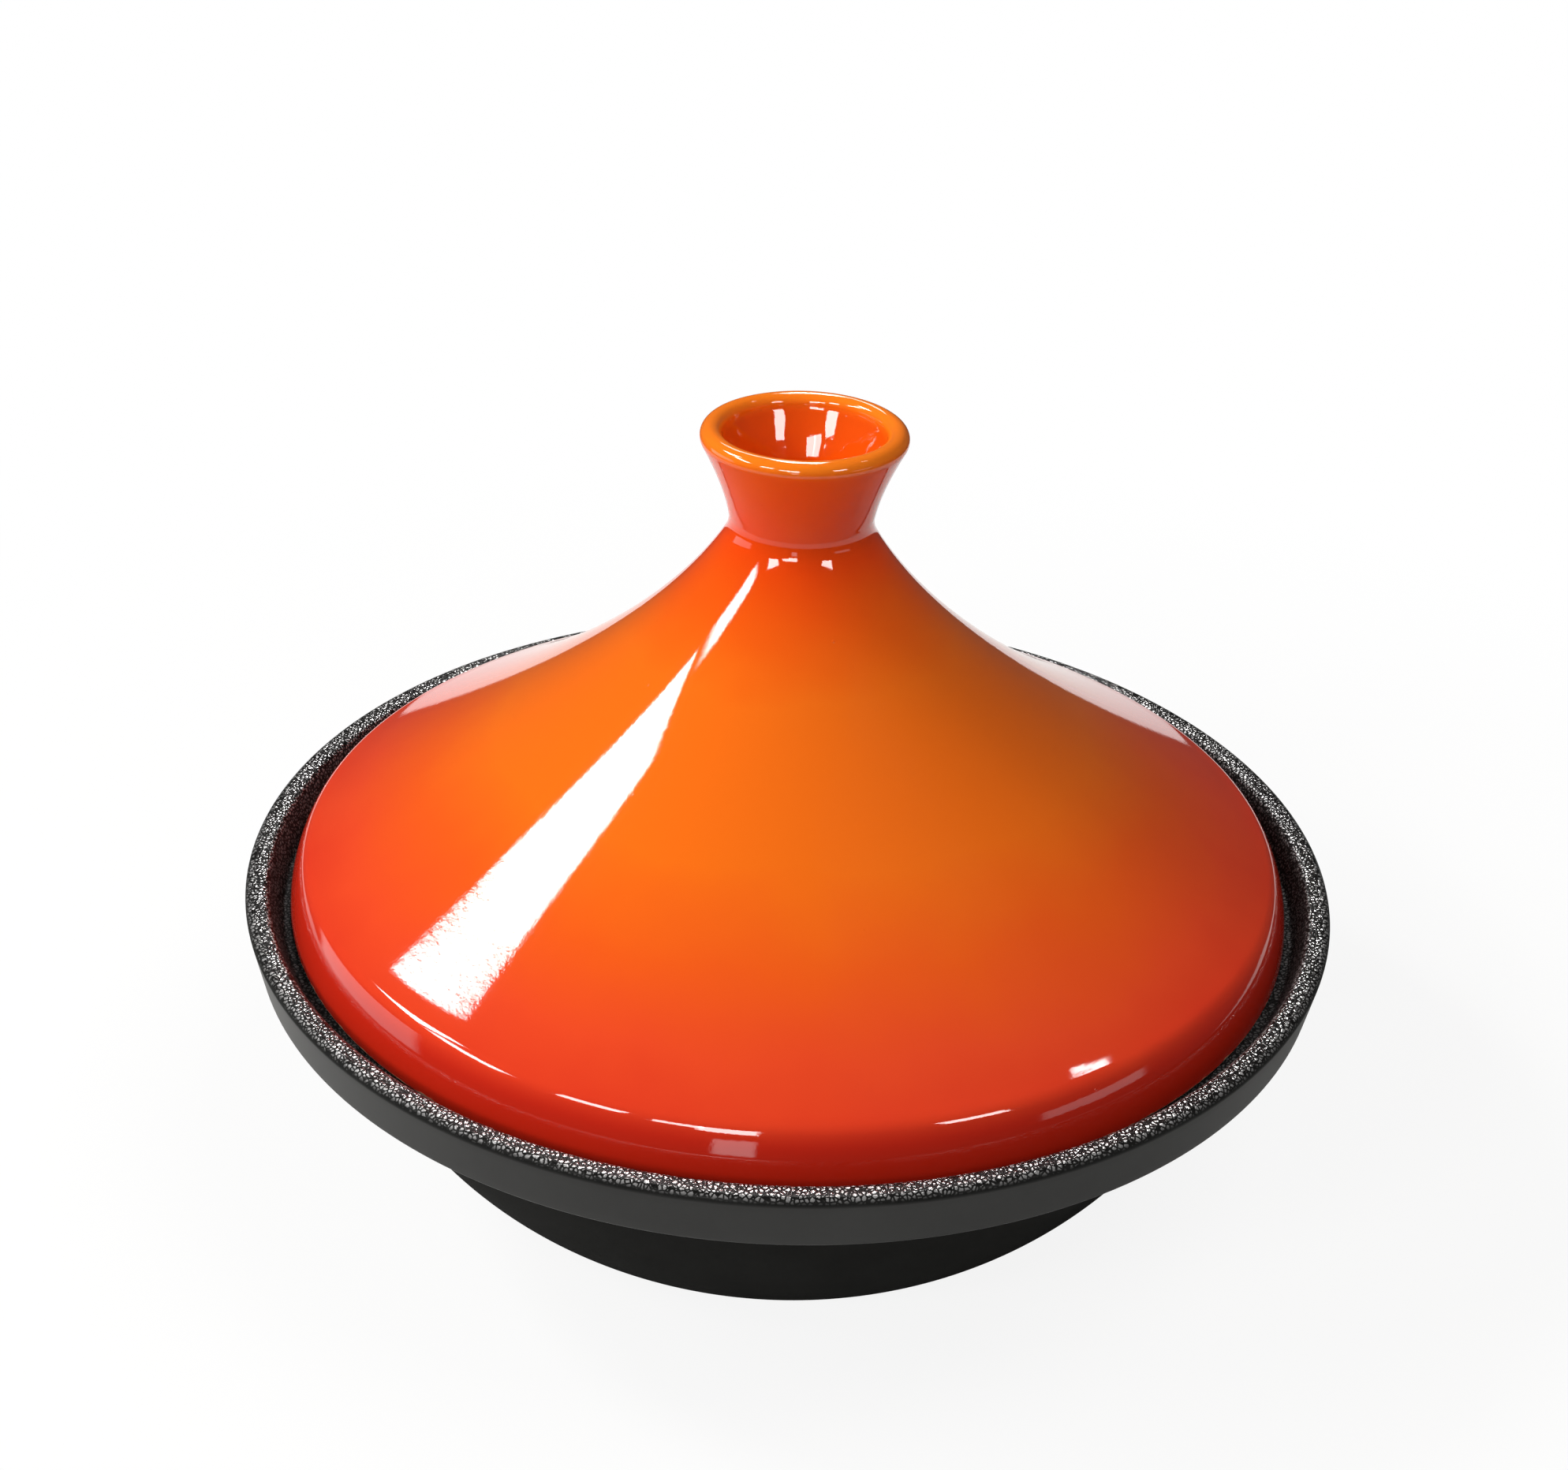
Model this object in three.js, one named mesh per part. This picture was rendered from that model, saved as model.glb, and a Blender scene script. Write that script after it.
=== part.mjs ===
// A tagine: a shallow cast iron dish and a glazed stoneware lid that stands in a seat inside its rim.
// Millimetres, +Z up. The origin is the centre of the dish's flat base, on the table.
// Both pieces are turned shapes, so each one is a half profile of (radius, height) points spun about Z.
import * as THREE from "three";

// The dish: its rim, and the seat inside the rim that the lid stands in
const RIM_RADIUS = 142.5; // where the rim's outer corner would be if it were sharp
const DISH_HEIGHT = 79;
const RIM_THICKNESS = 6; // likewise, between its sharp corners
const RIM_OUTER_ROUND = 1.8;
const RIM_INNER_ROUND = 2.4;
const BAND_TAPER = 2.7; // how far the band round the outside draws in at its lower edge
const BAND_EDGE_ROUND = 1.2;
const SEAT_DEPTH = 8; // from the top of the rim down to the ledge
const SEAT_FLARE = 3.4; // how far the seat's wall opens outwards on its way up
const SEAT_CORNER_ROUND = 1;
const LEDGE_THICKNESS = 6.8;
const LEDGE_INSET = 6.3; // how far the ledge reaches in past the skirt that stands on it
const LEDGE_EDGE_ROUND = 3;

// The dish: the bowl below the ledge
const BOWL_MOUTH_ROUND = 3;
const BASE_RADIUS = 86.8; // where the bowl's outside would meet the table if its edge were sharp
const BOWL_BULGE = 7.3; // how far the bowl's side swells past a straight line
const BASE_ROUND = 8;
const BOWL_WALL = 4.8;
const FLOOR_THICKNESS = 5.5;
const FLOOR_ROUND = 14;

// The lid: the skirt that stands in the seat, the shoulder and the cone
const SEAT_CLEARANCE = 2; // play all round between the skirt and the seat's wall
const REST_GAP = 0.3; // between the lid's foot and the ledge
const SKIRT_SWELL = 27; // radius of the skirt's outside, which stands upright at the foot and curls in above
const SKIRT_LEAN = 30; // degrees from upright, where the skirt meets the shoulder
const SKIRT_WALL = 7; // at the foot
const FOOT_ROUND = 1.2;
const SHOULDER_ROUND = 6;
const INNER_SHOULDER_ROUND = 7;
const CONE_HEIGHT = 102.4; // from the lid's foot to the crease under the neck
const CONE_FOOT_SLOPE = 29.5; // degrees below level, where the cone meets the shoulder
const CONE_NECK_SLOPE = 60.5; // degrees below level, where the cone meets the neck
const LID_WALL = 6;

// The lid: the flared neck that serves as its knob, and the well inside the neck
const NECK_RADIUS = 17.8;
const NECK_HEIGHT = 23; // from the crease to the widest point of the lip
const NECK_LEAN = 4; // degrees from upright, at the crease
const NECK_FLARE = 27.5; // degrees from upright, under the lip
const NECK_WALL = 5.3;
const CREASE_ROUND = 8;
const LIP_RADIUS = 25.55;
const LIP_ROUND = 2.75;
const WELL_DEPTH = 22; // from the top of the lip
const WELL_ROUND = 7;
const WELL_FLOOR = 6;

// How finely curves are divided
const TURN_STEPS = 64; // round the axis
const ROUND_STEPS = 3;
const SKIRT_STEPS = 4;
const LIP_STEPS = 4; // each side of its top
const NECK_STEPS = 6;
const CONE_STEPS = 10;
const BOWL_STEPS = 6;
const CEILING_STEPS = 4;

const point = (radius, height) => new THREE.Vector2(radius, height);
const radians = THREE.MathUtils.degToRad;

/** The point at a distance from a start, in a direction given as an angle from outwards towards up. */
function along(start, angle, distance) {
  return point(start.x + distance * Math.cos(angle), start.y + distance * Math.sin(angle));
}

/** Where the line through p at angle a meets the line through q at angle b. */
function meeting(p, a, q, b) {
  const reach = ((q.x - p.x) * Math.sin(b) - (q.y - p.y) * Math.cos(b)) / Math.sin(b - a);
  return along(p, a, reach);
}

/** Points on an arc about a centre, from one angle to another by the shorter way. */
function arc(centre, radius, from, to, steps) {
  const sweep = THREE.MathUtils.euclideanModulo(to - from + Math.PI, 2 * Math.PI) - Math.PI;
  const curve = new THREE.EllipseCurve(centre.x, centre.y, radius, radius, from, from + sweep, sweep < 0);
  return curve.getPoints(steps);
}

/** Points of a round that takes the corner off the line from before, through corner, to after. */
function rounded(before, corner, after, radius) {
  const back = before.clone().sub(corner).normalize();
  const ahead = after.clone().sub(corner).normalize();
  const half = Math.acos(back.dot(ahead)) / 2;
  const toCentre = back.clone().add(ahead).normalize();
  const centre = corner.clone().addScaledVector(toCentre, radius / Math.sin(half));
  const reach = radius / Math.tan(half);
  const start = corner.clone().addScaledVector(back, reach).sub(centre);
  const end = corner.clone().addScaledVector(ahead, reach).sub(centre);
  return arc(centre, radius, start.angle(), end.angle(), ROUND_STEPS);
}

/** Points beside a curve, at a distance to the left of the way it runs. */
function beside(curve, distance, steps) {
  return curve.getPoints(steps).map((at, i) => {
    const way = curve.getTangent(i / steps);
    return point(at.x - distance * way.y, at.y + distance * way.x);
  });
}

/** A closed solid turned about +Z from a profile that starts and ends on the axis. */
function turned(profile) {
  return new THREE.LatheGeometry(profile, TURN_STEPS).rotateX(Math.PI / 2);
}

// Levels and radii that the two pieces share
const ledgeLevel = DISH_HEIGHT - SEAT_DEPTH;
const undersideLevel = ledgeLevel - LEDGE_THICKNESS;
const seatRadius = RIM_RADIUS - RIM_THICKNESS - SEAT_FLARE;
const skirtRadius = seatRadius - SEAT_CLEARANCE;
const footLevel = ledgeLevel + REST_GAP;
const ledgeRadius = skirtRadius - SKIRT_WALL - LEDGE_INSET; // of the ledge's inner edge
const mouthRadius = ledgeRadius + BOWL_WALL; // of the bowl's outside, under the ledge

/** The circle that the bowl's outside follows: through its mouth and its base edge, swollen by the bulge. */
function bowlCircle() {
  const mouth = point(mouthRadius, undersideLevel);
  const base = point(BASE_RADIUS, 0);
  const chord = base.clone().sub(mouth);
  const radius = (chord.lengthSq() / 4 + BOWL_BULGE ** 2) / (2 * BOWL_BULGE);
  const inwards = point(chord.y, -chord.x).normalize();
  const centre = mouth.clone().addScaledVector(chord, 0.5).addScaledVector(inwards, radius - BOWL_BULGE);
  return { centre, radius };
}

/** One face of the bowl, from the round at its floor up its side to a level. */
function bowlSide(centre, radius, floor, round, top) {
  const level = floor + round - centre.y;
  const roundCentre = point(centre.x + Math.sqrt((radius - round) ** 2 - level ** 2), floor + round);
  const tangent = roundCentre.clone().sub(centre).angle();
  const topAngle = Math.asin((top - centre.y) / radius);
  return [
    ...arc(roundCentre, round, -Math.PI / 2, tangent, ROUND_STEPS),
    ...arc(centre, radius, tangent, topAngle, BOWL_STEPS).slice(1),
  ];
}

function makeDish() {
  const { centre, radius } = bowlCircle();
  const outside = bowlSide(centre, radius, 0, BASE_ROUND, undersideLevel);
  const inside = bowlSide(centre, radius - BOWL_WALL, FLOOR_THICKNESS, FLOOR_ROUND, ledgeLevel);
  const mouth = outside.pop();
  const ledgeEdge = inside.pop();
  const bandFoot = point(RIM_RADIUS - BAND_TAPER, undersideLevel);
  const rimOutside = point(RIM_RADIUS, DISH_HEIGHT);
  const rimInside = point(RIM_RADIUS - RIM_THICKNESS, DISH_HEIGHT);
  const seatCorner = point(seatRadius, ledgeLevel);
  return turned([
    point(0, 0),
    ...outside,
    ...rounded(outside.at(-1), mouth, bandFoot, BOWL_MOUTH_ROUND),
    ...rounded(mouth, bandFoot, rimOutside, BAND_EDGE_ROUND),
    ...rounded(bandFoot, rimOutside, rimInside, RIM_OUTER_ROUND),
    ...rounded(rimOutside, rimInside, seatCorner, RIM_INNER_ROUND),
    ...rounded(rimInside, seatCorner, ledgeEdge, SEAT_CORNER_ROUND),
    ...rounded(seatCorner, ledgeEdge, inside.at(-1), LEDGE_EDGE_ROUND),
    ...inside.reverse(),
    point(0, FLOOR_THICKNESS),
  ]);
}

/** The skirt's swell, the shoulder's round, and the cone's curve from there up to the crease. */
function skirtShoulderAndCone(crease) {
  const lean = radians(SKIRT_LEAN);
  const coneAngle = Math.PI - radians(CONE_FOOT_SLOPE);
  const skirt = arc(point(skirtRadius - SKIRT_SWELL, footLevel), SKIRT_SWELL, 0, lean, SKIRT_STEPS);
  const roundCentre = along(skirt.at(-1), lean, -SHOULDER_ROUND);
  const round = arc(roundCentre, SHOULDER_ROUND, lean, coneAngle - Math.PI / 2, ROUND_STEPS);
  const start = round.at(-1);
  const bend = meeting(start, coneAngle, crease, Math.PI - radians(CONE_NECK_SLOPE));
  return { skirt, round, cone: new THREE.QuadraticBezierCurve(start, bend, crease) };
}

/** The neck from the crease to the lip, the lip, and the well down to its floor on the axis. */
function neckLipAndWell(crease) {
  const lipCentre = point(LIP_RADIUS - LIP_ROUND, crease.y + NECK_HEIGHT);
  const flare = Math.PI / 2 - radians(NECK_FLARE);
  const lip = arc(lipCentre, LIP_ROUND, -radians(NECK_FLARE), Math.PI / 2, LIP_STEPS);
  const lipInside = arc(lipCentre, LIP_ROUND, Math.PI / 2, Math.PI, LIP_STEPS).slice(1);
  const neckBend = meeting(crease, Math.PI / 2 - radians(NECK_LEAN), lip[0], flare);
  const neck = new THREE.QuadraticBezierCurve(crease, neckBend, lip[0]).getPoints(NECK_STEPS);
  const floor = lipCentre.y + LIP_ROUND - WELL_DEPTH;
  const wellCorner = point(NECK_RADIUS - NECK_WALL, floor);
  const wellBend = point(wellCorner.x, neckBend.y);
  const wall = new THREE.QuadraticBezierCurve(lipInside.at(-1), wellBend, wellCorner).getPoints(NECK_STEPS);
  const upperWall = wall.slice(1, NECK_STEPS / 2 + 1); // the round at the floor takes the place of the rest
  const axis = point(0, floor);
  const wellFoot = rounded(upperWall.at(-1), wellCorner, axis, WELL_ROUND);
  return { neck, rest: [...lip, ...lipInside, ...upperWall, ...wellFoot, axis] };
}

function makeLid() {
  const footCorner = point(skirtRadius, footLevel);
  const crease = point(NECK_RADIUS, footLevel + CONE_HEIGHT);
  const { skirt, round, cone } = skirtShoulderAndCone(crease);
  const { neck, rest } = neckLipAndWell(crease);
  const outerCone = cone.getPoints(CONE_STEPS);

  const ceiling = rest.at(-1).y - WELL_FLOOR;
  const innerFoot = point(skirtRadius - SKIRT_WALL, footLevel);
  const skirtAngle = skirt.at(-1).clone().sub(footCorner).angle();
  const innerCone = beside(cone, LID_WALL, CONE_STEPS).filter((at) => at.y < ceiling - at.x / 4);
  const coneAngle = Math.PI - radians(CONE_FOOT_SLOPE);
  const innerShoulder = meeting(innerCone[0], coneAngle, innerFoot, skirtAngle);
  const top = innerCone.at(-1);
  const dome = new THREE.EllipseCurve(0, top.y, top.x, ceiling - top.y, 0, Math.PI / 2);
  const cap = dome.getPoints(CEILING_STEPS);

  return turned([
    point(0, ceiling),
    ...cap.slice(0, -1).reverse(),
    ...innerCone.slice(1, -1).reverse(),
    ...rounded(innerCone[1], innerShoulder, innerFoot, INNER_SHOULDER_ROUND),
    ...rounded(innerShoulder, innerFoot, footCorner, FOOT_ROUND),
    ...rounded(innerFoot, footCorner, along(footCorner, Math.PI / 2, SKIRT_SWELL), FOOT_ROUND),
    ...skirt.slice(1, -1),
    ...round,
    ...outerCone.slice(1, -1),
    ...rounded(outerCone.at(-2), crease, neck[1], CREASE_ROUND),
    ...neck.slice(1, -1),
    ...rest,
  ]);
}

const castIron = new THREE.MeshStandardMaterial({ color: 0x2b2c2c, roughness: 0.55, metalness: 0.3 });
const glaze = new THREE.MeshStandardMaterial({ color: 0xe85a1a, roughness: 0.08, metalness: 0 });

const dish = new THREE.Mesh(makeDish(), castIron);
dish.name = "base_dish";

const lid = new THREE.Mesh(makeLid(), glaze);
lid.name = "conical_lid";

const tagine = new THREE.Group();
tagine.add(dish, lid);

export default tagine;
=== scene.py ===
# %% [markdown]
# # A tagine, dressed for its photograph
# The object is a shallow black cast iron dish and a tall conical lid of glazed stoneware.
# The measured model comes first and stays fixed. Everything made below is in metres, in its frame:
# +Z is up, and the origin is the middle of the dish's flat base, on the table.

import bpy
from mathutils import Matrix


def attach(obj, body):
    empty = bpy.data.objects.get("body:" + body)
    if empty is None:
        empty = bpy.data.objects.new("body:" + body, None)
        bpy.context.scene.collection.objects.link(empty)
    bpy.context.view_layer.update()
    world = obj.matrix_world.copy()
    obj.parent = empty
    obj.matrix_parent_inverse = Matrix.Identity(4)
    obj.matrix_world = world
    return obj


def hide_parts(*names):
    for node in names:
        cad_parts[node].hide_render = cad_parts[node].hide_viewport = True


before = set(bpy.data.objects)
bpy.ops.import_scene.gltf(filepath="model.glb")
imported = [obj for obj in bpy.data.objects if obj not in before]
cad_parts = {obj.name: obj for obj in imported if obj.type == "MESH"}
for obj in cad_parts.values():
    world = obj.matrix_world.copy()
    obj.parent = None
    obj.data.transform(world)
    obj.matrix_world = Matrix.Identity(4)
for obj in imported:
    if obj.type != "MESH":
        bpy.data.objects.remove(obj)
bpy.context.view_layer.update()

# %% [markdown]
# ## The camera
# The photograph looks down on the tagine from a little under a third of the way up the sky, and from
# quite close by, so the front of the rim looks larger than the back of it.
# A camera is easiest to place backwards: choose the point it looks at, step back from there along the
# line of sight, and roll it about that line, because the photograph was taken with a slight tilt.

# %% The camera
import bpy
import numpy as np
from mathutils import Matrix

IMAGE_WIDTH = 1988
FOCAL_PIXELS = 2938.7
SENSOR_WIDTH = 36.0
AIM = np.array([-0.00252, 0.0, 0.11357])
CAMERA_ELEVATION = np.radians(29.161)
CAMERA_DISTANCE = 0.602
CAMERA_ROLL = np.radians(1.978)
NEAREST_SEEN = 0.01

sight = np.array([0.0, np.cos(CAMERA_ELEVATION), -np.sin(CAMERA_ELEVATION)])
camera = bpy.data.objects.new("camera", bpy.data.cameras.new("camera"))
camera.data.sensor_width = SENSOR_WIDTH
camera.data.lens = FOCAL_PIXELS / IMAGE_WIDTH * SENSOR_WIDTH
camera.data.clip_start = NEAREST_SEEN
pitch = Matrix.Rotation(np.pi / 2 - CAMERA_ELEVATION, 4, "X")
roll = Matrix.Rotation(CAMERA_ROLL, 4, "Z")
camera.matrix_world = Matrix.Translation(AIM - CAMERA_DISTANCE * sight) @ pitch @ roll
bpy.context.scene.collection.objects.link(camera)
bpy.context.scene.camera = camera
bpy.context.scene.view_settings.view_transform = "Standard"
print("lens", round(camera.data.lens, 2), "mm, camera at", [round(v, 4) for v in camera.location])

# %% [markdown]
# ## Profiles
# Both pieces were turned: the dish's mould on a lathe and the lid on a wheel. So each of them is one half
# profile, a line of (radius, height) points, carried once round the axis. Straight runs, arcs and gentle
# bends are enough for every profile here, and a small round takes the edge off each corner, as casting
# sand and glaze both do. Where a curve runs into a corner, the round replaces the curve's last few points.

# %% Arcs, rounds and bends of a profile
MM = 0.001
ROUND_POINTS = 11
CORNER_POINTS = 4


def spot(radius, height):
    """A point of a profile: its distance from the axis and its height."""
    return np.array([radius, height])


def unit(way):
    """The same way, one metre long."""
    return way / np.hypot(*way)


def arc(centre, radius, start, sweep, count):
    """centre + radius (cos a, sin a), with a running evenly from start through sweep."""
    angle = start + sweep * np.linspace(0.0, 1.0, count)
    return centre + radius * np.stack([np.cos(angle), np.sin(angle)], axis=1)


def eased(before, corner, after, radius):
    """The arc that touches both lines of a corner; its centre is on the bisector, radius / sin(half) away."""
    back, ahead = unit(before - corner), unit(after - corner)
    half = np.arccos(back @ ahead) / 2
    centre = corner + unit(back + ahead) * radius / np.sin(half)
    start = corner + back * radius / np.tan(half) - centre
    turn = np.pi - 2 * half
    side = np.sign(back[1] * ahead[0] - back[0] * ahead[1])
    return arc(centre, radius, np.arctan2(start[1], start[0]), side * turn, ROUND_POINTS)


def bend(start, control, end, count):
    """A quadratic Bezier: (1-t)^2 start + 2t(1-t) control + t^2 end."""
    t = np.linspace(0.0, 1.0, count)[:, None]
    return (1 - t) ** 2 * start + 2 * t * (1 - t) * control + t**2 * end


def crossing(first, first_angle, second, second_angle):
    """Where the line through one point, at its angle, meets the line through another point, at its own."""
    gap = second - first
    aside = gap[0] * np.sin(second_angle) - gap[1] * np.cos(second_angle)
    reach = aside / np.sin(second_angle - first_angle)
    return first + reach * np.array([np.cos(first_angle), np.sin(first_angle)])


# %% Share out the points of a profile
SAME_PLACE = 1e-7


def even_steps(points, step):
    """The same line without repeated points, and with new ones wherever two lie further apart than step."""
    length = np.hypot(*np.diff(points, axis=0).T)
    points = points[np.append(True, length > SAME_PLACE)]
    length = np.hypot(*np.diff(points, axis=0).T)
    shares = np.ceil(length / step).astype(int)
    run = np.repeat(np.arange(len(shares)), shares)
    part = (np.arange(shares.sum()) - np.repeat(np.cumsum(shares) - shares, shares)) / shares[run]
    inner = points[run] + part[:, None] * np.diff(points, axis=0)[run]
    return np.vstack([inner, points[-1]])


def distance_along(points, origin):
    """How far each point is along the line, less than zero before the point that lies nearest to origin."""
    length = np.append(0.0, np.cumsum(np.hypot(*np.diff(points, axis=0).T)))
    return length - length[np.argmin(np.hypot(*(points - origin).T))]


# %% [markdown]
# ## From a profile to a surface
# Blender has a Screw modifier and a Spin tool for turned shapes. Here the grid is worked out directly
# instead: every point of the profile becomes a ring, and its two ends, which lie on the axis, become one
# point each. No hand-made pot is perfectly true, so a ring may swell by a few hundredths of a millimetre
# as it goes round. Each point also keeps its distance along the profile, which tells a finish how far it
# is from the rim or the foot.

# %% A turned piece
TURN_STEPS = 252


def turned(name, profile, along, swell):
    """x = (r + s) cos a, y = (r + s) sin a, z = h for profile points (r, h), with s = swell(r, h, a)."""
    turn = np.arange(TURN_STEPS) * 2 * np.pi / TURN_STEPS
    radius, height = profile[1:-1, :1], profile[1:-1, 1:]
    grown = radius + swell(radius, height, turn[None, :])
    flat = np.zeros_like(turn)[None, :]
    grid = np.stack([grown * np.cos(turn), grown * np.sin(turn), height + flat], axis=-1)
    ends = np.array([[0.0, 0.0, profile[0, 1]], [0.0, 0.0, profile[-1, 1]]])
    points = np.vstack([ends[:1], grid.reshape(-1, 3), ends[1:]])
    here = 1 + np.arange(grid[..., 0].size).reshape(grid.shape[:2])
    beside = np.roll(here, -1, axis=1)
    quads = np.stack([here[:-1], beside[:-1], beside[1:], here[1:]], axis=-1).reshape(-1, 4)
    first = np.stack([np.zeros_like(here[0]), beside[0], here[0]], axis=-1)
    last = np.stack([np.full_like(here[0], len(points) - 1), here[-1], beside[-1]], axis=-1)
    mesh = bpy.data.meshes.new(name)
    mesh.from_pydata(points.tolist(), [], quads.tolist() + first.tolist() + last.tolist())
    mesh.shade_smooth()
    marks = np.concatenate([along[:1], np.repeat(along[1:-1], TURN_STEPS), along[-1:]])
    mesh.attributes.new("along", "FLOAT", "POINT").data.foreach_set("value", marks.astype(np.float32))
    piece = bpy.data.objects.new(name, mesh)
    bpy.context.scene.collection.objects.link(piece)
    print(name, "has", 2 * len(quads) + len(first) + len(last), "triangles")
    return piece


# %% [markdown]
# ## The dish
# The dish is a bowl with a flat base. At the top it opens into a ledge and a thick rim, and the lid stands
# on the ledge inside the rim. Outside, the rim shows as a band that draws in a little towards its lower
# edge. The profile starts under the base, climbs the outside, crosses the rim and goes down to the
# cooking floor.

# %% The dish's sizes
RIM_RADIUS = 142.5 * MM
DISH_HEIGHT = 79 * MM
RIM_THICKNESS = 6 * MM
RIM_OUTER_ROUND = 1.8 * MM
RIM_INNER_ROUND = 2.4 * MM
BAND_TAPER = 2.7 * MM
BAND_EDGE_ROUND = 1.2 * MM
SEAT_DEPTH = 8 * MM
SEAT_FLARE = 3.4 * MM
SEAT_CORNER_ROUND = 1 * MM
LEDGE_THICKNESS = 6.8 * MM
LEDGE_INSET = 6.3 * MM
LEDGE_EDGE_ROUND = 3 * MM
BOWL_MOUTH_ROUND = 3 * MM
BASE_RADIUS = 86.8 * MM
BOWL_BULGE = 7.3 * MM
BASE_ROUND = 8 * MM
BOWL_WALL = 4.8 * MM
FLOOR_THICKNESS = 5.5 * MM
FLOOR_ROUND = 14 * MM
SEAT_CLEARANCE = 2 * MM
SKIRT_WALL = 7 * MM

ledge_level = DISH_HEIGHT - SEAT_DEPTH
underside_level = ledge_level - LEDGE_THICKNESS
seat_radius = RIM_RADIUS - RIM_THICKNESS - SEAT_FLARE
skirt_radius = seat_radius - SEAT_CLEARANCE
mouth_radius = skirt_radius - SKIRT_WALL - LEDGE_INSET + BOWL_WALL
print("ledge at", round(ledge_level, 4), "m, seat radius", round(seat_radius, 4), "m")

# %% The dish's profile
EASE_POINTS = 15
BOWL_POINTS = 45


def bowl_circle():
    """The circle through the bowl's mouth and base edge whose arc stands BOWL_BULGE off their chord."""
    mouth, base = spot(mouth_radius, underside_level), spot(BASE_RADIUS, 0.0)
    chord = base - mouth
    radius = (chord @ chord / 4 + BOWL_BULGE**2) / (2 * BOWL_BULGE)
    return (mouth + base) / 2 + unit(spot(chord[1], -chord[0])) * (radius - BOWL_BULGE), radius


def bowl_side(centre, radius, floor, ease, top):
    """A round that leaves the floor level and touches the bowl's circle, then that circle up to a height."""
    rise = floor + ease - centre[1]
    ease_centre = spot(centre[0] + np.sqrt((radius - ease) ** 2 - rise**2), floor + ease)
    touch = np.arctan2(*(ease_centre - centre)[::-1])
    top_angle = np.arcsin((top - centre[1]) / radius)
    return np.vstack([
        arc(ease_centre, ease, -np.pi / 2, touch + np.pi / 2, EASE_POINTS),
        arc(centre, radius, touch, top_angle - touch, BOWL_POINTS)[1:],
    ])


def dish_profile():
    """Axis, base, bowl, band, rim, seat, ledge and the inside of the bowl, back to the axis."""
    centre, radius = bowl_circle()
    outside = bowl_side(centre, radius, 0.0, BASE_ROUND, underside_level)
    inside = bowl_side(centre, radius - BOWL_WALL, FLOOR_THICKNESS, FLOOR_ROUND, ledge_level)
    mouth, ledge_edge = outside[-1], inside[-1]
    band_foot = spot(RIM_RADIUS - BAND_TAPER, underside_level)
    rim_outside = spot(RIM_RADIUS, DISH_HEIGHT)
    rim_inside = spot(RIM_RADIUS - RIM_THICKNESS, DISH_HEIGHT)
    seat_corner = spot(seat_radius, ledge_level)
    return np.vstack([
        spot(0.0, 0.0),
        outside[:1 - CORNER_POINTS],
        eased(outside[-CORNER_POINTS], mouth, band_foot, BOWL_MOUTH_ROUND),
        eased(mouth, band_foot, rim_outside, BAND_EDGE_ROUND),
        eased(band_foot, rim_outside, rim_inside, RIM_OUTER_ROUND),
        eased(rim_outside, rim_inside, seat_corner, RIM_INNER_ROUND),
        eased(rim_inside, seat_corner, ledge_edge, SEAT_CORNER_ROUND),
        eased(seat_corner, ledge_edge, inside[-CORNER_POINTS], LEDGE_EDGE_ROUND),
        inside[-CORNER_POINTS - 1::-1],
        spot(0.0, FLOOR_THICKNESS),
    ])


# %% The dish
DISH_STEP = 2.5 * MM
MOULD_WAVE = 0.04 * MM
STILL_BASE = 12 * MM


def dish_swell(radius, height, turn):
    """Slow waves a few hundredths of a millimetre high, as sand moulds leave, that fade towards the base."""
    wave = np.sin(3 * turn + 40 * height) + 0.6 * np.sin(7 * turn - 90 * height)
    return MOULD_WAVE * wave * np.clip(height / STILL_BASE, 0.0, 1.0)


profile = even_steps(dish_profile(), DISH_STEP)
rim_middle = spot(RIM_RADIUS - RIM_THICKNESS / 2, DISH_HEIGHT)
dish = turned("iron_dish", profile, distance_along(profile, rim_middle), dish_swell)
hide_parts("base_dish")
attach(dish, "dish")

# %% [markdown]
# ## The lid
# The lid is one thrown shape: a short skirt that swells up out of the dish's seat, a rounded shoulder, a
# cone whose side is hollow like a tent's, and a flared neck to lift it by. The neck is a little cup,
# closed at the bottom. The cone and the neck are each one gentle bend, and the cone's foot flares very
# slightly where it meets the shoulder. The inside follows the cone at the thickness of the wall, up to a
# domed ceiling.

# %% The lid's sizes
REST_GAP = 0.3 * MM
SKIRT_SWELL = 27 * MM
SKIRT_LEAN = np.radians(30)
FOOT_ROUND = 1.2 * MM
SHOULDER_ROUND = 6 * MM
INNER_SHOULDER_ROUND = 7 * MM
CONE_HEIGHT = 102.4 * MM
FLARE_SLOPE = np.radians(26)
FLARE_LENGTH = 5 * MM
CONE_FOOT_SLOPE = np.radians(29.5)
CONE_NECK_SLOPE = np.radians(60.5)
LID_WALL = 6 * MM
CEILING_SLOPE = 0.25
NECK_RADIUS = 17.8 * MM
NECK_HEIGHT = 23 * MM
NECK_LEAN = np.radians(4)
NECK_FLARE = np.radians(27.5)
NECK_WALL = 5.3 * MM
CREASE_ROUND = 8 * MM
LIP_RADIUS = 25.55 * MM
LIP_ROUND = 2.75 * MM
WELL_DEPTH = 22 * MM
WELL_ROUND = 7 * MM
WELL_FLOOR = 6 * MM

foot_level = ledge_level + REST_GAP
crease_level = foot_level + CONE_HEIGHT
lip_level = crease_level + NECK_HEIGHT
well_level = lip_level + LIP_ROUND - WELL_DEPTH
ceiling_level = well_level - WELL_FLOOR
print("lid from", round(foot_level, 4), "m to", round(lip_level + LIP_ROUND, 4), "m")

# %% The neck, the well and the cone
NECK_POINTS = 25
LIP_POINTS = 33
WELL_POINTS = 31
CONE_POINTS = 61


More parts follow.
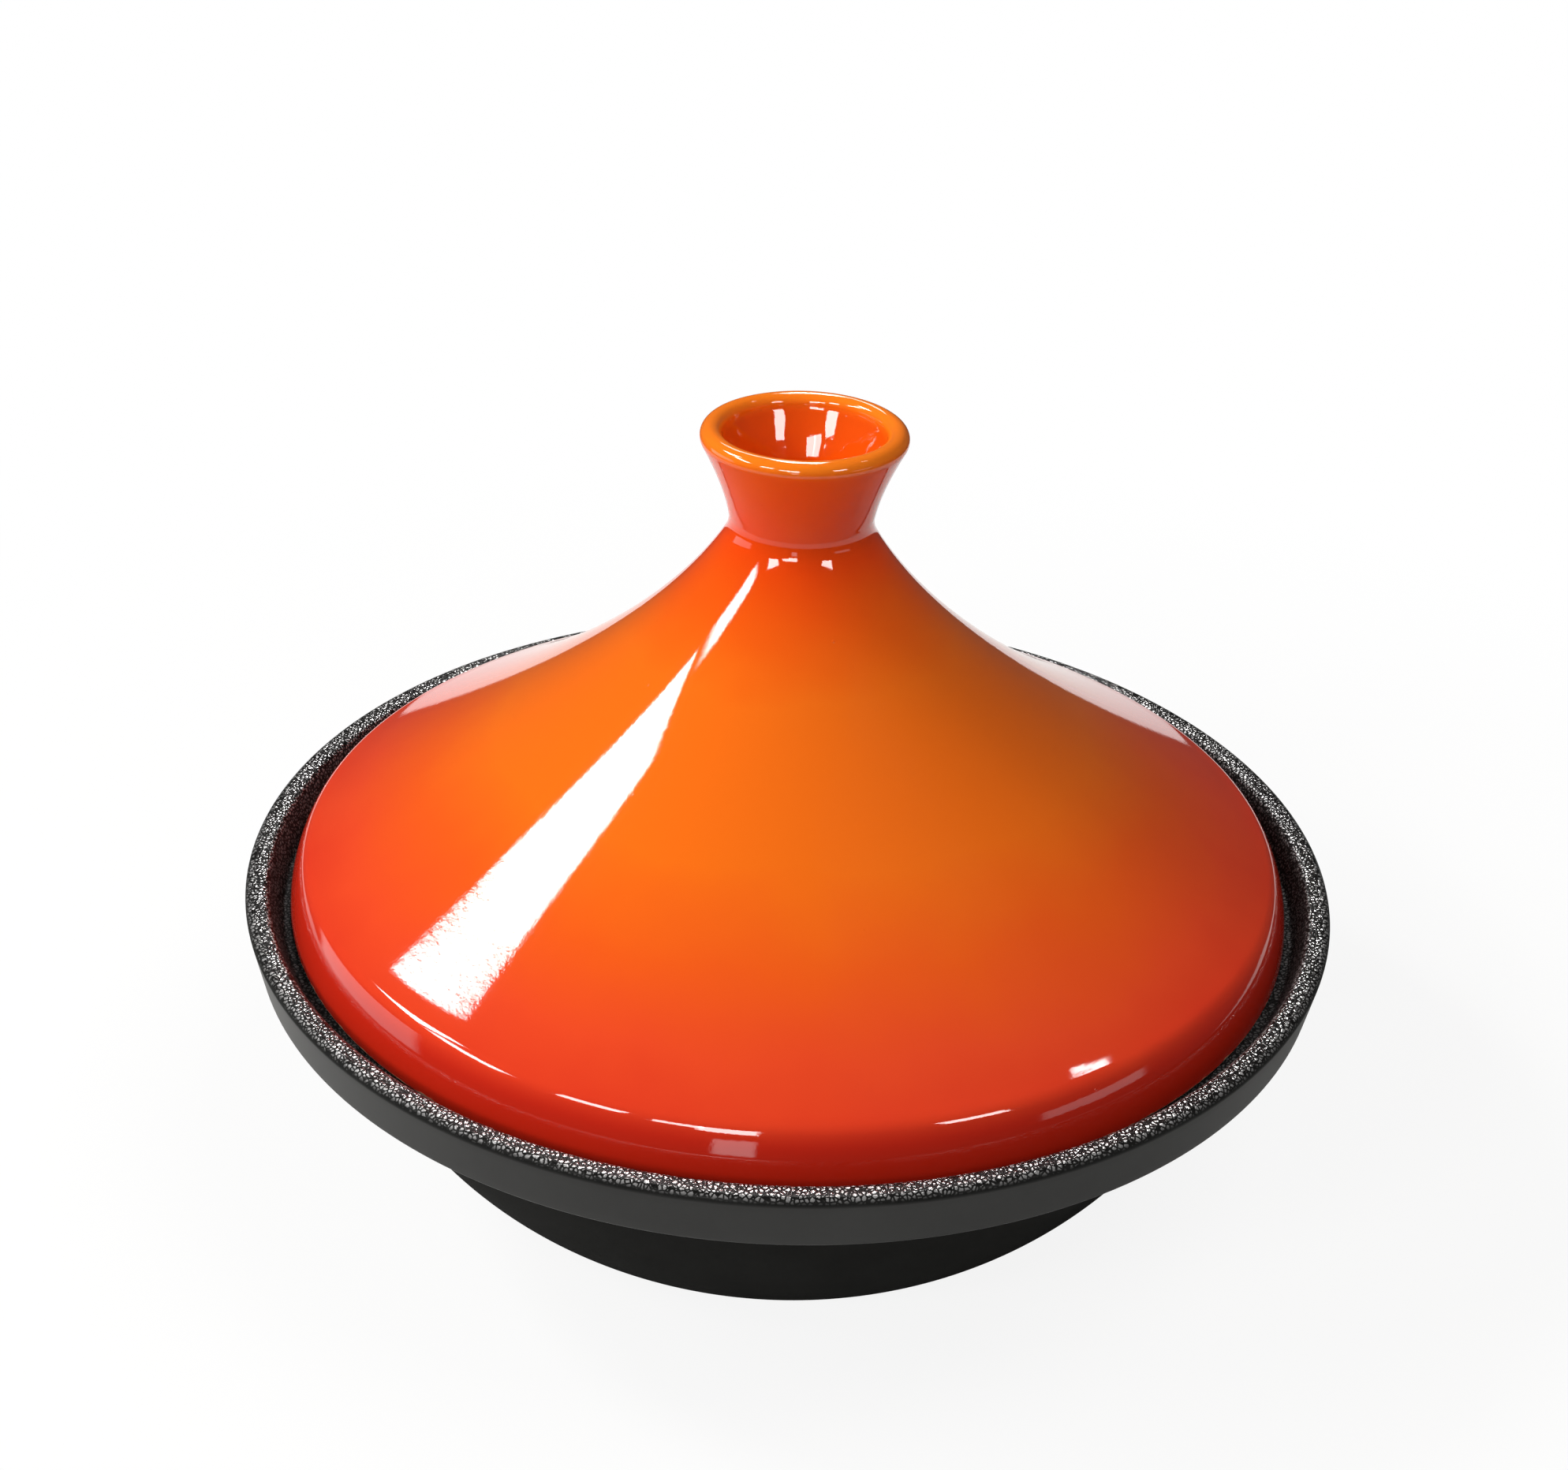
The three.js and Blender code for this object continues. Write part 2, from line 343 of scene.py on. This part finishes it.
def neck_and_well(crease):
    """The neck's bend, and the list of what follows: the lip's half circle, the well's wall and its floor."""
    lip_centre = spot(LIP_RADIUS - LIP_ROUND, lip_level)
    lip = arc(lip_centre, LIP_ROUND, -NECK_FLARE, np.pi + NECK_FLARE, LIP_POINTS)
    neck_bend = crossing(crease, np.pi / 2 - NECK_LEAN, lip[0], np.pi / 2 - NECK_FLARE)
    well_corner = spot(NECK_RADIUS - NECK_WALL, well_level)
    wall = bend(lip[-1], spot(well_corner[0], neck_bend[1]), well_corner, WELL_POINTS)
    upper_wall = wall[1:WELL_POINTS // 2 + 1]
    axis = spot(0.0, well_level)
    floor_round = eased(upper_wall[-1], well_corner, axis, WELL_ROUND)
    return bend(crease, neck_bend, lip[0], NECK_POINTS), [lip, upper_wall, floor_round, axis]


def cone_curve(start, control, end, wall):
    """The cone's bend, and the line beside it at the wall's thickness, to the left of the way it climbs."""
    outer = bend(start, control, end, CONE_POINTS)
    t = np.linspace(0.0, 1.0, CONE_POINTS)[:, None]
    way = 2 * (1 - t) * (control - start) + 2 * t * (end - control)
    way = way / np.hypot(*way.T)[:, None]
    return outer, outer + wall * np.stack([-way[:, 1], way[:, 0]], axis=1)


# %% The lid's profile
SKIRT_POINTS = 41
SHOULDER_POINTS = 21
FLARE_POINTS = 9
CEILING_POINTS = 21


def skirt_and_shoulder():
    """The skirt's arc, and the round over the shoulder that turns on from it, as far as the flare's slope."""
    skirt = arc(spot(skirt_radius - SKIRT_SWELL, foot_level), SKIRT_SWELL, 0.0, SKIRT_LEAN, SKIRT_POINTS)
    centre = skirt[-1] - SHOULDER_ROUND * spot(np.cos(SKIRT_LEAN), np.sin(SKIRT_LEAN))
    turn = np.pi / 2 - FLARE_SLOPE - SKIRT_LEAN
    return skirt, arc(centre, SHOULDER_ROUND, SKIRT_LEAN, turn, SHOULDER_POINTS)


def cone_flare(start):
    """An arc that bends the other way, from the flare's slope to the slope of the cone's foot."""
    rise = np.pi / 2 - FLARE_SLOPE
    radius = FLARE_LENGTH / (CONE_FOOT_SLOPE - FLARE_SLOPE)
    centre = start + radius * spot(np.cos(rise), np.sin(rise))
    return arc(centre, radius, rise + np.pi, FLARE_SLOPE - CONE_FOOT_SLOPE, FLARE_POINTS)


def ceiling_cap(edge):
    """A quarter of an ellipse, from the middle of the ceiling down to the inside of the cone."""
    fall = np.linspace(np.pi / 2, 0.0, CEILING_POINTS)[1:, None]
    size = spot(edge[0], ceiling_level - edge[1])
    return spot(0.0, edge[1]) + np.hstack([np.cos(fall), np.sin(fall)]) * size


def lid_profile():
    """Axis under the crown, inside of the cone, foot, outer skirt, shoulder, cone, neck, lip and well."""
    foot_corner = spot(skirt_radius, foot_level)
    inner_foot = spot(skirt_radius - SKIRT_WALL, foot_level)
    skirt, round_over = skirt_and_shoulder()
    flare = cone_flare(round_over[-1])
    crease = spot(NECK_RADIUS, crease_level)
    rise = np.pi - CONE_FOOT_SLOPE
    control = crossing(flare[-1], rise, crease, np.pi - CONE_NECK_SLOPE)
    outer, inner = cone_curve(flare[-1], control, crease, LID_WALL)
    inner = inner[inner[:, 1] < ceiling_level - inner[:, 0] * CEILING_SLOPE]
    skirt_angle = np.arctan2(*(skirt[-1] - foot_corner)[::-1])
    inner_shoulder = crossing(inner[0], rise, inner_foot, skirt_angle)
    neck, lip_and_well = neck_and_well(crease)
    return np.vstack([
        spot(0.0, ceiling_level),
        ceiling_cap(inner[-1]),
        inner[-2:CORNER_POINTS - 1:-1],
        eased(inner[CORNER_POINTS], inner_shoulder, inner_foot, INNER_SHOULDER_ROUND),
        eased(inner_shoulder, inner_foot, foot_corner, FOOT_ROUND),
        eased(inner_foot, foot_corner, foot_corner + spot(0.0, SKIRT_SWELL), FOOT_ROUND),
        skirt[CORNER_POINTS:-1],
        round_over,
        flare[1:],
        outer[1:1 - CORNER_POINTS],
        eased(outer[-CORNER_POINTS], crease, neck[CORNER_POINTS - 1], CREASE_ROUND),
        neck[CORNER_POINTS:-1],
        *lip_and_well,
    ])


# %% The lid
LID_STEP = 2.2 * MM
THROWN_WAVE = 0.05 * MM
STILL_FOOT = 20 * MM
STILL_AXIS = 15 * MM


def lid_swell(radius, height, turn):
    """Slow waves from the thrower's hands, under a tenth of a millimetre high, that fade towards the foot."""
    wave = np.sin(2 * turn + 30 * height) + 0.5 * np.sin(5 * turn - 60 * height + 1.0)
    off_foot = np.clip((height - foot_level) / STILL_FOOT, 0.0, 1.0)
    return THROWN_WAVE * wave * off_foot * np.clip(radius / STILL_AXIS, 0.0, 1.0)


profile = even_steps(lid_profile(), LID_STEP)
foot_middle = spot(skirt_radius - SKIRT_WALL / 2, foot_level)
lid_along = distance_along(profile, foot_middle)
lip_along = float(lid_along[np.argmax(profile[:, 1])])
lid = turned("glazed_lid", profile, lid_along, lid_swell)
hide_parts("conical_lid")
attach(lid, "lid")

# %% [markdown]
# ## Node maths
# A finish is a small calculation on each point of a surface, and Blender draws it as boxes and wires.
# Written as Python it is easier to follow: an Amount is a number that changes over the surface, and
# +, -, * and / between Amounts add the Math nodes. Every other node comes from one method of the node
# tree's helper.

# %% Amounts and node trees
class Amount:
    """A node's output, used as a number: each operator adds one Math node."""

    def __init__(self, tree, socket):
        self.tree, self.socket = tree, socket

    def math(self, operation, first, second):
        return self.tree.add("ShaderNodeMath", {"operation": operation}, {0: first, 1: second})

    def __add__(self, other):
        return self.math("ADD", self, other)

    def __sub__(self, other):
        return self.math("SUBTRACT", self, other)

    def __rsub__(self, other):
        return self.math("SUBTRACT", other, self)

    def __mul__(self, other):
        return self.math("MULTIPLY", self, other)

    def __truediv__(self, other):
        return self.math("DIVIDE", self, other)

    __radd__ = __add__
    __rmul__ = __mul__

    def least(self, other):
        return self.math("MINIMUM", self, other)

    def most(self, other):
        return self.math("MAXIMUM", self, other)

    def size(self):
        return self.math("ABSOLUTE", self, 0.0)

    def rising(self, low, high):
        """0 below low and 1 above high, with a smooth slope between."""
        sockets = {"Value": self, "From Min": low, "From Max": high}
        return self.tree.add("ShaderNodeMapRange", {"interpolation_type": "SMOOTHSTEP"}, sockets)


class Nodes:
    """A node tree that is built by naming each node's type, its settings and what goes into its sockets."""

    def __init__(self, owner):
        owner.use_nodes = True
        self.tree = owner.node_tree
        self.tree.nodes.clear()

    def add(self, kind, settings=None, sockets=None, output=0):
        """One node, and the output that is asked for as an Amount; None asks for no output."""
        node = self.tree.nodes.new(kind)
        for name, value in (settings or {}).items():
            if name == "stops":
                self.set_stops(node.color_ramp, value)
            else:
                setattr(node, name, value)
        for name, value in (sockets or {}).items():
            place = self.find(node.inputs, name)
            if isinstance(value, Amount):
                self.tree.links.new(value.socket, place)
            else:
                place.default_value = value
        if output is None:
            return None
        return Amount(self, self.find(node.outputs, output))

    def find(self, sockets, name):
        """A socket by its identifier, or else by its name or number."""
        by_identifier = {socket.identifier: socket for socket in sockets}
        return by_identifier.get(name) or sockets[name]

    def set_stops(self, ramp, stops):
        """A new ramp has two stops, which become the outermost ones."""
        outermost = [ramp.elements[0], ramp.elements[1]]
        for element, (place, colour) in zip(outermost, [stops[0], stops[-1]]):
            element.position = place
            element.color = colour
        for place, colour in stops[1:-1]:
            ramp.elements.new(place).color = colour

    def blend(self, amount, first, second):
        """A colour that goes from first to second as amount goes from 0 to 1."""
        sockets = {"Factor_Float": amount, "A_Color": first, "B_Color": second}
        return self.add("ShaderNodeMix", {"data_type": "RGBA"}, sockets, "Result_Color")

    def noise(self, where, size, detail=2.0, roughness=0.5):
        """Smooth noise about 0.5, with lumps about as large as size, in metres."""
        sockets = {"Vector": where, "Scale": 1 / size, "Detail": detail, "Roughness": roughness}
        return self.add("ShaderNodeTexNoise", {}, sockets, "Fac")

    def bump(self, surface):
        """The surface's direction once it is raised by a height in metres."""
        return self.add("ShaderNodeBump", {}, {"Height": surface, "Strength": 1.0, "Distance": 1.0})

    def finish(self, shader, kind="ShaderNodeOutputMaterial"):
        """Wires the shader to the tree's output."""
        self.add(kind, {}, {"Surface": shader}, None)


# %% Colours as they are seen
WHITE = (1.0, 1.0, 1.0, 1.0)


def paint(red, green, blue):
    """A colour given as on a screen, 0 to 255 each, as the amounts of light that Blender works with."""
    seen = np.array([red, green, blue]) / 255
    light = np.where(seen <= 0.04045, seen / 12.92, ((seen + 0.055) / 1.055) ** 2.4)
    return (*(float(value) for value in light), 1.0)


print("a middle grey of 128 is", round(paint(128, 128, 128)[0], 3), "of the light")

# %% [markdown]
# ## The glaze
# The lid was sprayed with several glazes before it was fired: russet on the neck, amber on the cone and
# red from the shoulder down, so that they melt into each other on the way. The skirt's deeper red is partly
# the glaze and partly painted shade, where the dish's rim shades the skirt. The glaze is thick and glassy,
# with a faint orange-peel ripple, a few raised specks, and a paler lip where it ran thin.
# The inside is a plain cream glaze, and the foot ring is wiped bare so that the lid won't stick to the
# kiln shelf. One material does all of it: the distance along the profile, which is counted from the middle
# of the foot, says which of them a point belongs to. Each pair of distances below is where one finish
# starts to give way to the next, and where it has gone.

# %% Where each glaze goes
BARE_RING = (3.0 * MM, 3.6 * MM)
RAGGED_EDGE = 1.6 * MM
LINING_EDGE = (-0.2 * MM, 0.2 * MM)
LIP_EDGE = (2.5 * MM, 6.0 * MM)
CUP_EDGE = (lip_along + 3 * MM, lip_along + 6 * MM)
SKIRT_EDGE = (13 * MM, 19 * MM)

glaze = bpy.data.materials.new("ombre_glaze")
nodes = Nodes(glaze)
where = nodes.add("ShaderNodeTexCoord", {}, {}, "Object")
along = nodes.add("ShaderNodeAttribute", {"attribute_name": "along"}, {}, "Fac")
from_foot = along + (nodes.noise(where, 4 * MM) - 0.5) * RAGGED_EDGE
bare = 1 - from_foot.size().rising(*BARE_RING)
inside = 1 - along.rising(*LINING_EDGE)
on_lip = 1 - (along - lip_along).size().rising(*LIP_EDGE)
in_cup = along.rising(*CUP_EDGE)
on_skirt = 1 - along.rising(*SKIRT_EDGE)

# %% The glaze's colours
RUSSET = paint(232, 68, 6)
AMBER = paint(238, 107, 18)
ORANGE = paint(232, 87, 22)
VERMILION = paint(226, 70, 32)
RED = paint(212, 50, 28)
# partly the skirt's deeper glaze, partly painted shade from the dish's rim
DEEP_RED_AND_SHADE = paint(198, 37, 18)
HONEY = paint(248, 124, 24)
COPPER = paint(226, 80, 8)
CREAM = paint(236, 226, 205)
CLAY = paint(196, 168, 138)
DARK_CLAY = paint(170, 140, 112)
OMBRE_RADIUS = 140 * MM
OMBRE_DRIFT = 14 * MM

across = nodes.add("ShaderNodeVectorMath", {"operation": "MULTIPLY"}, {0: where, 1: (1.0, 1.0, 0.0)})
radius = nodes.add("ShaderNodeVectorMath", {"operation": "LENGTH"}, {0: across}, "Value")
drift = nodes.noise(where, 28 * MM, 2.0) - 0.5
reach = (radius + drift * OMBRE_DRIFT) / OMBRE_RADIUS
ombre = nodes.add("ShaderNodeValToRGB", {"stops": [
    (0.14, RUSSET), (0.30, AMBER), (0.54, AMBER), (0.68, ORANGE), (0.82, VERMILION), (0.95, RED),
]}, {"Fac": reach}, "Color")
# The skirt is a darker red: partly its glaze, partly painted shade where the dish's rim shades it.
outside = nodes.blend(on_skirt, ombre, DEEP_RED_AND_SHADE)
outside = nodes.blend(on_lip, nodes.blend(in_cup, outside, COPPER), HONEY)
lined = nodes.blend(inside, outside, CREAM)
clay_tone = nodes.blend(nodes.noise(where, 1.5 * MM, 4.0), DARK_CLAY, CLAY)
colour = nodes.blend(bare, lined, clay_tone)

# %% Specks and orange peel
SPECK_SPACING = 9 * MM
SPECK_HEIGHT = 0.06 * MM
PEEL_HEIGHT = 0.010 * MM
CUP_LUMP_HEIGHT = 0.12 * MM
GLAZE_GRAIN = 0.003 * MM
CLAY_GRAIN = 0.15 * MM
GLAZE_ROUGHNESS = 0.02

speck_cell = {"Vector": where, "Scale": 1 / SPECK_SPACING}
speck_distance = nodes.add("ShaderNodeTexVoronoi", {}, speck_cell, "Distance")
speck_colour = nodes.add("ShaderNodeTexVoronoi", {}, speck_cell, "Color")
speck_pick = nodes.add("ShaderNodeSeparateColor", {}, {"Color": speck_colour}, "Red")
specks = (1 - speck_distance.rising(0.02, 0.05)) * speck_pick.rising(0.80, 0.81)
peel = nodes.noise(where, 1.6 * MM, 1.0) * 0.6 + nodes.noise(where, 7 * MM, 1.0)
lumps = nodes.noise(where, 5 * MM, 1.0) * in_cup
surface = peel * PEEL_HEIGHT + lumps * CUP_LUMP_HEIGHT + specks * SPECK_HEIGHT
surface = surface + nodes.noise(where, 0.5 * MM, 3.0) * (GLAZE_GRAIN + bare * CLAY_GRAIN)
roughness = GLAZE_ROUGHNESS + bare * 0.8 + nodes.noise(where, 12 * MM) * 0.03
shader = nodes.add("ShaderNodeBsdfPrincipled", {}, {
    "Base Color": colour, "Roughness": roughness, "IOR": 1.5, "Normal": nodes.bump(surface),
}, "BSDF")
nodes.finish(shader)
lid.data.materials.append(glaze)
print(glaze.name, "has", len(glaze.node_tree.nodes), "nodes")

# %% [markdown]
# ## The iron
# The dish is cast iron under a thin black matt coat. The sand of the mould shows through it everywhere as
# a fine grain. On the top of the rim the coat has worn off and the bare metal is coarse, cracked like
# leather into small plates, so each plate catches the light by itself and the rim glitters. In the seat
# there is a little of that too. The band outside has a few shallow pits where gas escaped from the metal.
# Here the distance along the profile is counted from the middle of the rim's top, and it is less than zero
# outside.

# %% Where the grain is coarse
BAND_START = (-22 * MM, -18 * MM)
BAND_END = (-3.4 * MM, -2.2 * MM)
RIM_START = (-2.4 * MM, 0.6 * MM)
RIM_END = (3.0 * MM, 5.5 * MM)
SEAT_START = (3.0 * MM, 5.0 * MM)
SEAT_END = (26 * MM, 30 * MM)

iron = bpy.data.materials.new("black_cast_iron")
nodes = Nodes(iron)
where = nodes.add("ShaderNodeTexCoord", {}, {}, "Object")
along = nodes.add("ShaderNodeAttribute", {"attribute_name": "along"}, {}, "Fac")
on_band = along.rising(*BAND_START) * (1 - along.rising(*BAND_END))
on_rim = along.rising(*RIM_START) * (1 - along.rising(*RIM_END))
in_seat = along.rising(*SEAT_START) * (1 - along.rising(*SEAT_END))
in_bowl = along.rising(*SEAT_END)
coarse = on_rim + in_seat * 0.7
bare_iron = (on_rim + in_seat * 0.2).least(1.0)

# %% The iron's grain and pits
PLATE_SIZE = 1.1 * MM
PLATE_HEIGHT = 0.10 * MM
GRAIN_SIZE = 0.9 * MM
SAND_SIZE = 0.45 * MM
PIT_SPACING = 2.6 * MM
PIT_DEPTH = 0.10 * MM

grain = nodes.noise(where, GRAIN_SIZE, 2.0, 0.6)
sand = nodes.noise(where, SAND_SIZE, 2.0, 0.6)
pit_cell = {"Vector": where, "Scale": 1 / PIT_SPACING}
pit_distance = nodes.add("ShaderNodeTexVoronoi", {}, pit_cell, "Distance")
pit_patch = nodes.noise(where, 22 * MM, 1.0).rising(0.52, 0.66)
pits = (1 - pit_distance.rising(0.10, 0.34)) * pit_patch * on_band
plate_cell = {"Vector": where, "Scale": 1 / PLATE_SIZE}
crack_distance = nodes.add("ShaderNodeTexVoronoi", {"feature": "DISTANCE_TO_EDGE"}, plate_cell, "Distance")
plates = crack_distance.rising(0.0, 0.30)
surface = plates * coarse * PLATE_HEIGHT + grain * (coarse * 0.16 + 0.04) * MM
surface = surface + sand * (coarse * 0.08 + 0.04) * MM - pits * PIT_DEPTH

# %% The iron's colour
COAT_BLACK = paint(25, 25, 24)
COAT_GREY = paint(36, 36, 35)
# the near black between the rim's plates is painted shade in the cracks
CRACK_SHADE = paint(22, 20, 19)
BARE_METAL = paint(190, 188, 187)

patchy = nodes.noise(where, 18 * MM, 3.0)
coat = nodes.blend(patchy, COAT_BLACK, COAT_GREY)
# Bare metal on the plates' tops is wear; the near black in the cracks between them is painted shade.
worn_and_crack_shade = (plates * 0.7 + sand - 0.5).rising(0.20, 0.65)
rim_tone = nodes.blend(worn_and_crack_shade, CRACK_SHADE, BARE_METAL)
colour = nodes.blend(bare_iron, coat, rim_tone)
roughness = 0.55 + patchy * 0.10 - bare_iron * 0.34
sheen = 0.06 + on_band * 0.5 + in_bowl * 0.3
shader = nodes.add("ShaderNodeBsdfPrincipled", {}, {
    "Base Color": colour, "Metallic": bare_iron, "Roughness": roughness, "Specular IOR Level": 0.0,
    "Normal": nodes.bump(surface), "Coat Weight": sheen, "Coat Roughness": 0.28, "Coat IOR": 1.5,
}, "BSDF")
nodes.finish(shader)
dish.data.materials.append(iron)
print(iron.name, "has", len(iron.node_tree.nodes), "nodes")

# %% [markdown]
# ## The table
# The photograph has a plain white ground, so the table is a round of pale card.
# Its light is mixed with an even white that only the camera and mirror-like surfaces see, which hides the
# edge of the card against the backdrop. Close to the pot some of the card's own light stays, so the dish
# still throws a soft shadow. From below the card is clear, so that the underside can be looked at too.

# %% The table
TABLE_RADIUS = 0.6
CARD = paint(244, 243, 240)
SHADOW_SHARE = 0.12
SHADOW_REACH = (0.2, 0.5)


def disc(name, radius, level, steps=96):
    """One flat many-sided face: radius (cos a, sin a) at a level, for evenly spaced angles a."""
    turn = np.arange(steps) * 2 * np.pi / steps
    ring = np.stack([radius * np.cos(turn), radius * np.sin(turn), np.full(steps, level)], axis=1)
    mesh = bpy.data.meshes.new(name)
    mesh.from_pydata(ring.tolist(), [], [list(range(steps))])
    piece = bpy.data.objects.new(name, mesh)
    bpy.context.scene.collection.objects.link(piece)
    return piece


def seen_rays(nodes):
    """1 for what the camera sees, straight, mirrored or through glass, and 0 for light on matt surfaces."""
    camera_ray = nodes.add("ShaderNodeLightPath", {}, {}, "Is Camera Ray")
    glossy_ray = nodes.add("ShaderNodeLightPath", {}, {}, "Is Glossy Ray")
    through_ray = nodes.add("ShaderNodeLightPath", {}, {}, "Is Transmission Ray")
    return camera_ray.most(glossy_ray).most(through_ray)


table = disc("table", TABLE_RADIUS, 0.0)
card = bpy.data.materials.new("white_card")
nodes = Nodes(card)
lit = nodes.add("ShaderNodeBsdfDiffuse", {}, {"Color": CARD})
even = nodes.add("ShaderNodeEmission", {}, {"Color": WHITE, "Strength": 1.0})
where = nodes.add("ShaderNodeTexCoord", {}, {}, "Object")
out_from_pot = nodes.add("ShaderNodeVectorMath", {"operation": "LENGTH"}, {0: where}, "Value")
near = 1 - out_from_pot.rising(*SHADOW_REACH)
camera_ray = nodes.add("ShaderNodeLightPath", {}, {}, "Is Camera Ray")
card_share = near * (SHADOW_SHARE * camera_ray + (1 - camera_ray))
even_share = seen_rays(nodes) * (1 - card_share)
above = nodes.add("ShaderNodeMixShader", {}, {0: even_share, 1: lit, 2: even})
clear = nodes.add("ShaderNodeBsdfTransparent")
below = nodes.add("ShaderNodeNewGeometry", {}, {}, "Backfacing")
nodes.finish(nodes.add("ShaderNodeMixShader", {}, {0: below, 1: above, 2: clear}))
table.data.materials.append(card)
print("a round table,", 2 * TABLE_RADIUS, "m across")

# %% [markdown]
# ## The light
# A glossy pot shows its lamps, so they are laid out as the glaze mirrors them: two long softboxes to the
# left give the broad streak down the cone, a few small ones in front and to the right give the short
# dashes on the shoulder, and low cards in front and to the sides give the pale patches on the skirt.
# Two lamps behind are there for the rim's glitter, and two large fills only light the colours.
# Each is an area lamp aimed at the pot. Its brightness is its power, divided by pi and by its area, so the
# power follows from how bright it should look. The room around them is dim.

# %% The lamps
LAMP_DISTANCE = 2.5
POT_MIDDLE = np.array([0.0, 0.0, 0.12])


def soften(light, fade, cut):
    """Dims a lamp over a share of its size at each edge; cut slants the end with the lesser azimuth."""
    nodes = Nodes(light)
    place = nodes.add("ShaderNodeNewGeometry", {}, {}, "Parametric")
    across = nodes.add("ShaderNodeSeparateXYZ", {}, {"Vector": place}, "X")
    up = nodes.add("ShaderNodeSeparateXYZ", {}, {"Vector": place}, "Y")
    sides = (1 - across).least(across - up * cut).rising(0.0, fade)
    level = sides * (1 - up).least(up).rising(0.0, fade)
    nodes.finish(nodes.add("ShaderNodeEmission", {}, {"Strength": level}), "ShaderNodeOutputLight")


def lamp(name, azimuth, elevation, width, height, brightness, tilt=0.0, fade=0.0, lights="both", cut=0.0):
    """An area lamp, with all angles in degrees as seen from the pot; azimuth grows to the camera's right.

    A lamp that lights "sheen" is only seen in glossy surfaces, and one that lights "colour" never is.
    """
    turn, climb = np.radians(azimuth), np.radians(elevation)
    way = np.array([np.sin(turn) * np.cos(climb), -np.cos(turn) * np.cos(climb), np.sin(climb)])
    light = bpy.data.lights.new(name, "AREA")
    light.shape = "RECTANGLE"
    light.size = 2 * LAMP_DISTANCE * np.tan(np.radians(width) / 2)
    light.size_y = 2 * LAMP_DISTANCE * np.tan(np.radians(height) / 2)
    light.energy = brightness * np.pi * light.size * light.size_y
    if fade:
        soften(light, fade, cut)
    holder = bpy.data.objects.new(name, light)
    aimed = Matrix.Rotation(turn, 4, "Z") @ Matrix.Rotation(np.pi / 2 - climb, 4, "X")
    tilted = Matrix.Rotation(np.radians(tilt), 4, "Z")
    holder.matrix_world = Matrix.Translation(POT_MIDDLE + LAMP_DISTANCE * way) @ aimed @ tilted
    holder.visible_camera = False
    holder.visible_diffuse = lights != "sheen"
    holder.visible_glossy = lights != "colour"
    bpy.context.scene.collection.objects.link(holder)
    return light.energy


power = [
    lamp("long_window_left", -105.8, 43.8, 17.0, 12.4, 29.0, fade=0.03, cut=0.6),
    lamp("long_window_right", -77, 36.5, 26, 7, 29.0, -15, fade=0.2),
    lamp("front_left", -41.5, 31, 13, 9, 20.0),
    lamp("front_upper", -21.5, 26, 9.5, 8, 18.0),
    lamp("front_middle", -10.8, 24, 11.5, 12, 18.0, lights="sheen"),
    lamp("front_card", -9, 5, 9.3, 16, 3.0, fade=0.12, lights="sheen"),
    lamp("front_right", 42, 30, 13, 9, 18.0, lights="sheen"),
    lamp("right_dash", 105.4, 54.2, 5.0, 1.4, 24.0, -54, lights="sheen"),
    lamp("right_low", 65, 2.5, 27, 7, 1.3, -4, fade=0.1, lights="sheen"),
    lamp("left_low", -97, 0, 40, 19, 1.8, 8, fade=0.1, lights="sheen"),
    lamp("back_left", -171, 39.5, 14, 9, 8.0, lights="sheen"),
    lamp("back_top", -179, 54, 12, 18, 46.0, fade=0.2, lights="sheen"),
    lamp("fill_right", 80, 66, 30, 30, 3.8, lights="colour"),
    lamp("fill_left", -100, 45, 20, 20, 2.6, lights="colour"),
]
print("lamps:", len(power), "with", round(sum(power), 1), "watts in all")

# %% The room
ROOM_LEVEL = 0.10
MIRROR_LEVEL = 0.06

room = bpy.data.worlds.new("room")
bpy.context.scene.world = room
nodes = Nodes(room)
camera_ray = nodes.add("ShaderNodeLightPath", {}, {}, "Is Camera Ray")
seen = seen_rays(nodes)
shown = camera_ray + (1 - camera_ray) * MIRROR_LEVEL
strength = seen * shown + (1 - seen) * ROOM_LEVEL
sky = nodes.add("ShaderNodeBackground", {}, {"Color": WHITE, "Strength": strength})
nodes.finish(sky, "ShaderNodeOutputWorld")
print("room light", ROOM_LEVEL)
